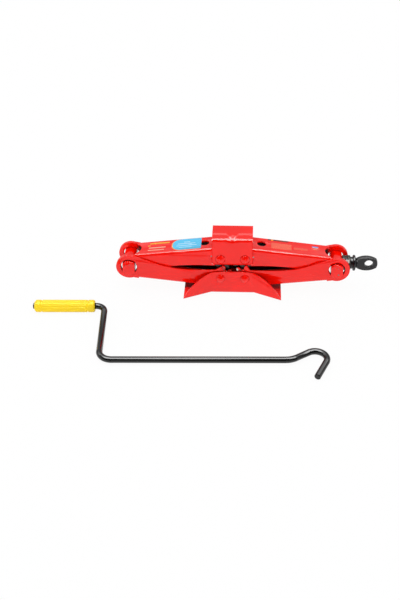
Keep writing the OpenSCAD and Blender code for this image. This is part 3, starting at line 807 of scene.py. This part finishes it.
class JACK_OT_labels(bpy.types.Operator):
    """Lay the bare labels on the webs of the upper arms"""

    bl_idname = "jack.labels"
    bl_label = "Bare labels"

    def patch(self, name, side, along, across, material, corners=(0.8, 0.8), level=0):
        """A thin film on an upper arm's web, with rounded corners.

        Along and across give its ends in millimetres from the saddle pin, and corners the
        radius at its near and its far end. Level is how many films lie under it.
        """
        film = bpy.context.scene.scissor_jack.labels.film
        (near, far), (front, back) = [[v * MM for v in pair] for pair in (along, across)]
        bm = bmesh.new()
        bmesh.ops.create_grid(bm, x_segments=1, y_segments=1, size=0.5)
        bmesh.ops.scale(bm, vec=(far - near, back - front, 1), verts=bm.verts)
        ends = [[v for v in bm.verts if v.co.x * way > 0] for way in (-1, 1)]
        for verts, radius in zip(ends, corners):
            bmesh.ops.bevel(
                bm,
                geom=verts,
                offset=radius * MM,
                offset_type="OFFSET",
                segments=8,
                profile=0.5,
                affect="VERTICES",
                material=-1,
                clamp_overlap=True,
            )
        grown = bmesh.ops.extrude_face_region(bm, geom=list(bm.faces))
        top = [g for g in grown["geom"] if isinstance(g, bmesh.types.BMVert)]
        bmesh.ops.translate(bm, vec=(0, 0, film), verts=top)
        for v in bm.verts:
            x, y, z = v.co
            middle = ((near + far) / 2 + x, (front + back) / 2 + y)
            v.co = on_web(side, *middle, z + level * film + 0.01 * MM)
        bmesh.ops.recalc_face_normals(bm, faces=bm.faces)
        body = "upper_right" if side > 0 else "upper_left"
        finished(bm, name, body, material, smooth=False)

    def printed(self, name, tint, side, bars=()):
        """A printed finish. A bar is its ends along and across, in millimetres, and its tint."""
        f = Finish(name, {"IOR": 1.5})
        along, across, _ = along_arm(f, SADDLE_PIN, side, 1)
        paint = f.mix(f.noise(12 * MM, 3.0), scaled(tint, 0.96), tint)
        soft = 0.35 * MM
        for *ends, other in bars:
            near, far, front, back = (end * MM for end in ends)
            bar = along.ramp(near - soft, near + soft) * along.ramp(far + soft, far - soft)
            bar = bar * across.ramp(front - soft, front + soft)
            bar = bar * across.ramp(back + soft, back - soft)
            paint = f.mix(bar, paint, other)
        f.set("Base Color", paint).set("Roughness", 0.22 + 0.08 * f.noise(3 * MM))
        f.bump(f.noise(2 * MM), 0.01 * MM, 0.3)
        return f.material

    def execute(self, context):
        s = context.scene.scissor_jack.labels
        blue, rim, yellow, pale = (tuple(c) for c in (s.blue, s.rim, s.yellow, s.pale))
        self.left(blue, rim, yellow, pale)
        self.right(yellow, pale)
        return {"FINISHED"}

    def left(self, blue, rim, yellow, pale):
        """A round-ended blue label in its rim, and four bars towards the trunnion."""
        light = tuple(0.5 + 0.5 * c for c in blue)
        bars = (
            (26, 71, -15, -8.5, scaled(blue, 0.8)),
            (36, 62, 1.5, 3.0, light),
            (34, 64, -3.6, -2.2, light),
            (44, 53, 5.5, 7.0, light),
            (41, 46, -0.8, 0.2, light),
            (40, 60, -8.0, -6.9, light),
        )
        under = self.printed("label_rim", rim, -1)
        over = self.printed("label_blue", blue, -1, bars)
        self.patch("label_rim", -1, (27, 71.3), (-14.6, 15.0), under, (0.8, 13.2))
        self.patch("label_blue", -1, (27, 69.8), (-14.0, 14.9), over, (0.8, 12.8), 1)
        ochre = self.printed("label_yellow", yellow, -1)
        grey = self.printed("label_grey", pale, -1)
        self.patch("label_bar_top", -1, (75, 104), (7.8, 11.4), ochre, (1.2, 1.2))
        self.patch("label_bar_tip", -1, (103, 107), (2.6, 5.0), ochre)
        self.patch("label_bar_middle", -1, (80, 105), (-3.6, -1.0), grey)
        self.patch("label_bar_low", -1, (82, 106), (-9.6, -7.6), grey)

    def right(self, yellow, pale):
        """A dark strip, a lined orange label, a small lined one and a badge."""
        faint, white = (0.93, 0.17, 0.10), (0.85, 0.85, 0.85)
        strip = ((36, 39.5, 11, 16, yellow), (44, 58, 13.0, 13.6, (0.2, 0.12, 0.05)))
        wide = [(37, 66, y, y + 0.9, faint) for y in (-8.6, -6.4, -4.2, -2.0, 0.2, 2.4, 4.4)]
        narrow = [(70, 90, y, y + 0.7, faint) for y in (-5.4, -3.4, -1.6)]
        badge = (
            (97.5, 106.5, 6.2, 8.6, (0.08, 0.25, 0.70)),
            (98, 106, 4.8, 5.9, white),
            (99, 105, 0.2, 1.2, pale),
        )
        for name, tint, bars, along, across, corner in (
            ("label_strip", (0.035, 0.02, 0.01), strip, (31.5, 62), (12.0, 14.6), 0.6),
            ("label_orange", (0.93, 0.075, 0.035), wide, (36, 66.5), (-9.6, 6.0), 0.8),
            ("label_lines", (0.90, 0.03, 0.015), narrow, (69, 91), (-6.2, -0.6), 0.8),
            ("label_badge", (0.90, 0.06, 0.04), badge, (96, 108), (-1.6, 9.6), 3),
        ):
            print_over = self.printed(name, tint, 1, bars)
            self.patch(name, 1, along, across, print_over, (corner, corner))


class JACK_OT_crank(bpy.types.Operator):
    """Finish the crank's rod and its grip"""

    bl_idname = "jack.crank"
    bl_label = "Crank handle"

    def execute(self, context):
        s = context.scene.scissor_jack.crank
        rod = dark_coat("rod_black", tuple(s.black), 0.07, 2.5 * MM)
        dressed("crank_rod", rod, 0.2 * MM)
        f = Finish("grip_plastic", {"IOR": 1.46})
        f.set("Base Color", f.mix(f.noise(20 * MM), scaled(s.yellow, 0.97), tuple(s.yellow)))
        f.set("Roughness", 0.34 + 0.1 * f.noise(2 * MM))
        f.bump(f.noise(0.8 * MM), 0.01 * MM, 0.5)
        self.grip(s, f.material)
        return {"FINISHED"}

    def grip(self, s, plastic):
        """A ribbed grip turned round the rod's end, with a neck behind each plain collar."""
        joint = hinge("grip_spin")
        start, axis = Vector(joint["pos_m"]), Vector(joint["axis"]).normalized()
        low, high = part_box("crank_grip")
        radius = (high.z - low.z) / 2
        long = (high.x - low.x - 2 * radius * axis.y) / axis.x
        bevel, end, land = 2.4 * MM, 1.5 * MM, 1 * MM
        # A neck goes down behind its collar, up again, and back to the full radius.
        down, up, back = s.collar + 0.8 * MM, s.collar + 1.8 * MM, s.collar + 2.4 * MM
        neck = radius - s.neck
        near = [(s.collar, radius), (down, neck), (up, neck), (back, radius), (back + land, radius)]
        outline = [(0, s.bore), (0, radius - bevel), (bevel, radius), *near]
        outline += [(long - along, out) for along, out in reversed(near)]
        outline += [(long - end, radius), (long, radius - end), (long, s.bore)]
        side = axis.cross(Vector((0, 0, 1)))
        bm = bmesh.new()
        bmesh.ops.spin(
            bm,
            geom=joined(bm, [start + axis * along + side * out for along, out in outline], True),
            cent=start,
            axis=axis,
            angle=2 * math.pi,
            steps=6 * s.ribs,
            use_merge=True,
        )
        welded(bm)
        slack = 0.1 * MM
        for v in bm.verts:
            along = (v.co - start).dot(axis)
            if not back + land - slack < along < long - back - land + slack:
                continue
            out = v.co - start - axis * along
            turn = math.atan2(out.z, out.dot(side)) * s.ribs / (2 * math.pi)
            if abs(turn - round(turn)) < 0.01:
                v.co -= out.normalized() * s.groove
        piece = finished(bm, "crank_grip_skin", "grip", plastic)
        ease_edges(piece, 0.3 * MM, 2, 20)
        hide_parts("crank_grip")


class JACK_OT_stage(bpy.types.Operator):
    """Set up the floor, the light and the camera"""

    bl_idname = "jack.stage"
    bl_label = "Floor, light and camera"

    def floor(self, s):
        """A white floor that takes the shadow, and that reflections see as plain white."""
        bm = bmesh.new()
        bmesh.ops.create_grid(bm, x_segments=1, y_segments=1, size=4)
        mesh = bpy.data.meshes.new("floor")
        bm.to_mesh(mesh)
        bm.free()
        floor = bpy.data.objects.new("floor", mesh)
        bpy.context.scene.collection.objects.link(floor)
        f = Finish("floor_white", {"Roughness": 0.9})
        f.set("Base Color", tuple(s.floor))
        white = f.add("ShaderNodeEmission", None, {"Color": (1, 1, 1), "Strength": 1.0})
        rays = f.rays()
        seen = rays["Is Glossy Ray"] + rays["Is Transmission Ray"] + s.cover * rays["Is Camera Ray"]
        sockets = {0: seen.clamped(), 1: Wire(f, f.shader.outputs[0]), 2: white}
        mixed = f.add("ShaderNodeMixShader", None, sockets)
        f.tree.links.new(mixed.socket, f.tree.nodes["Material Output"].inputs["Surface"])
        mesh.materials.append(f.material)

    def sky(self, s):
        """Even light, in which reflections see a dark front, a softbox overhead and a pale back.

        The angle of a ray is 0 towards the front, 90 degrees overhead and 180 at the back.
        """
        world = bpy.data.worlds.new("studio")
        bpy.context.scene.world = world
        world.use_nodes = True
        g = Graph(world.node_tree)
        x, y, z = g.split(g.add("ShaderNodeTexCoord", output="Generated"))
        angle = z.maths("ARCTAN2", 0 - y)

        def between(low, high):
            return angle.ramp(math.radians(low), math.radians(high))

        softbox = between(66, 72) * between(110, 102) * abs(x).ramp(0.68, 0.5)
        behind = between(104, 112)
        glow = behind * between(146, 112)
        shown = s.front + s.card * softbox + (s.back - s.front) * behind + s.glow * glow
        side = abs(x).ramp(0.75, 0.95)
        shown = shown * (1 - side) + s.sides * side
        rays = g.rays()
        diffuse, glossy = rays["Is Diffuse Ray"], rays["Is Glossy Ray"]
        background = world.node_tree.nodes["Background"].inputs
        g.feed(background["Strength"], 1 - (1 - s.sky) * diffuse + glossy * (shown - 1))
        g.feed(background["Color"], (1, 1, 1))

    def lamp(self, s):
        """An overhead lamp that softens the shadow, and that reflections don't see."""
        light = bpy.data.lights.new("overhead_softbox", "AREA")
        light.shape = "RECTANGLE"
        light.size, light.size_y = 1.6, 1.0
        light.energy = s.top_light
        lamp = bpy.data.objects.new("overhead_softbox", light)
        bpy.context.scene.collection.objects.link(lamp)
        place, aim = Vector((0, 0.1, 1.8)), Vector((0, -0.05, 0))
        lamp.location = place
        lamp.rotation_euler = (aim - place).to_track_quat("-Z", "Y").to_euler()
        lamp.visible_glossy = False

    def camera(self):
        """A camera in front of the jack and above it."""
        aim, distance = Vector((0, 0, 40 * MM)), 1.4388
        height, yaw, roll = (math.radians(angle) for angle in (32.859, 1.314, 0.218))
        # The frame's height, and the focal length and shift in units of the same size.
        tall, focal, shift = 600.0, 965.4, (-33.06, -38.2)
        across = Vector((math.cos(yaw), math.sin(yaw), 0))
        back = Vector((math.sin(yaw), -math.cos(yaw), 0)) * math.cos(height)
        ahead = -back - Vector((0, 0, math.sin(height)))
        up = across.cross(ahead)
        right = across * math.cos(roll) + up * math.sin(roll)
        top = up * math.cos(roll) - across * math.sin(roll)
        data = bpy.data.cameras.new("camera")
        data.sensor_fit = "VERTICAL"
        data.sensor_height = 24
        data.lens = focal / tall * data.sensor_height
        data.shift_x, data.shift_y = shift[0] / tall, shift[1] / tall
        data.clip_end = 50
        camera = bpy.data.objects.new("camera", data)
        bpy.context.scene.collection.objects.link(camera)
        turn = Matrix((right, top, -ahead)).transposed().to_4x4()
        camera.matrix_world = Matrix.Translation(aim - ahead * distance) @ turn
        bpy.context.scene.camera = camera

    def execute(self, context):
        s = context.scene.scissor_jack.stage
        context.scene.view_settings.view_transform = "Standard"
        self.floor(s)
        self.sky(s)
        self.lamp(s)
        self.camera()
        return {"FINISHED"}


class JACK_PT_panel(bpy.types.Panel):
    """The sizes and colours, and a button for each piece"""

    bl_idname = "JACK_PT_panel"
    bl_label = "Scissor Jack"
    bl_space_type = "VIEW_3D"
    bl_region_type = "UI"
    bl_category = "Scissor Jack"

    def draw(self, context):
        settings = context.scene.scissor_jack
        for part in ("paint", "saddle", "rivets", "screw", "labels", "crank", "stage"):
            group = getattr(settings, part)
            box = self.layout.box()
            box.label(text=part.title())
            for key in group.__annotations__:
                box.prop(group, key)
        for operator in OPERATORS:
            self.layout.operator(operator.bl_idname)


OPERATORS = (
    JACK_OT_channels,
    JACK_OT_saddle,
    JACK_OT_rivets,
    JACK_OT_screw,
    JACK_OT_labels,
    JACK_OT_crank,
    JACK_OT_stage,
)
CLASSES = (
    JackPaintSettings,
    JackSaddleSettings,
    JackRivetSettings,
    JackScrewSettings,
    JackLabelSettings,
    JackCrankSettings,
    JackStageSettings,
    JackSettings,
    *OPERATORS,
    JACK_PT_panel,
)


def register():
    for cls in CLASSES:
        bpy.utils.register_class(cls)
    bpy.types.Scene.scissor_jack = PointerProperty(type=JackSettings)


def unregister():
    del bpy.types.Scene.scissor_jack
    for cls in reversed(CLASSES):
        bpy.utils.unregister_class(cls)


def main():
    """Builds the scene."""
    register()
    for operator in OPERATORS:
        group, name = operator.bl_idname.split(".")
        getattr(getattr(bpy.ops, group), name)()


if __name__ == "__main__":
    main()
